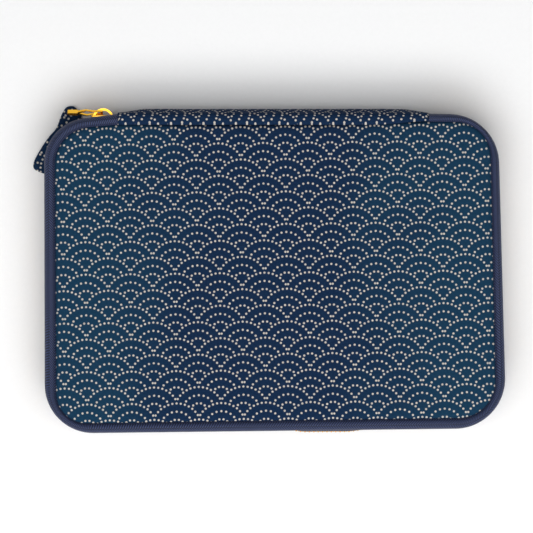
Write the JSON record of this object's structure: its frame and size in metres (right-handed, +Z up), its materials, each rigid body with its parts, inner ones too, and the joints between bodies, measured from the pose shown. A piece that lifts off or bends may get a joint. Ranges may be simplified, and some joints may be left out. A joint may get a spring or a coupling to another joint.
{
  "type": "zip-around brush case",
  "caption": "Padded book-style brush case that closes with a zip round three sides, with a soft spine, a flat pocket for brushes inside and a cloth grip tab at the zip's end.",
  "frame": {"origin": "middle of the back cover's resting face, at the surface the case lies on", "axes": "+X along the long side, +Y towards the spine, +Z up through the thickness"},
  "size_m": [0.2354, 0.1627, 0.026],
  "materials": {
    "printed_cotton": "matt navy cotton printed with pale dotted waves",
    "padding": "matt wadding",
    "lining_cloth": "matt plain woven cloth",
    "binding_cloth": "matt grosgrain",
    "zip_tape": "matt herringbone woven tape",
    "zip_metal": "polished gold-coloured plating",
    "elastic": "matt ribbed elastic"
  },
  "bodies": {
    "back_cover": {"back_panel_fabric": "printed_cotton", "back_padding": "padding", "back_lining": "lining_cloth", "back_seam_binding": "binding_cloth", "back_zip_tape": "zip_tape", "back_zip_teeth": "zip_metal", "back_top_stop": "zip_metal", "zip_end_box": "zip_metal", "brush_pocket": "lining_cloth", "pocket_binding": "binding_cloth", "grip_tab": "printed_cotton"},
    "spine": {"spine_fabric": "printed_cotton", "spine_padding": "padding", "spine_lining": "lining_cloth"},
    "front_cover": {"front_panel_fabric": "printed_cotton", "front_padding": "padding", "front_lining": "lining_cloth", "front_seam_binding": "binding_cloth", "front_zip_tape": "zip_tape", "front_zip_teeth": "zip_metal", "front_top_stop": "zip_metal", "elastic_band": "elastic"},
    "slider": {"slider_body": "zip_metal", "slider_bridge": "zip_metal"},
    "pull": {"zip_pull": "zip_metal"}
  },
  "joints": [
    {"name": "spine_fold", "type": "hinge", "parent": "back_cover", "child": "spine", "pos_m": [0, 0.0794, 0.0023], "axis": [-1, 0, 0], "range_deg": [0, 90]},
    {"name": "cover_fold", "type": "hinge", "parent": "spine", "child": "front_cover", "pos_m": [0, 0.0794, 0.0237], "axis": [-1, 0, 0], "range_deg": [0, 90]},
    {"name": "slider_travel", "type": "hinge", "parent": "back_cover", "child": "slider", "pos_m": [-0.0875, 0.0508, 0.013], "axis": [0, 0, 1], "range_deg": [0, 88]},
    {"name": "pull_swing", "type": "hinge", "parent": "slider", "child": "pull", "pos_m": [-0.0866, 0.07985, 0.013], "axis": [0, 0, -1], "range_deg": [0, 140]}
  ]
}
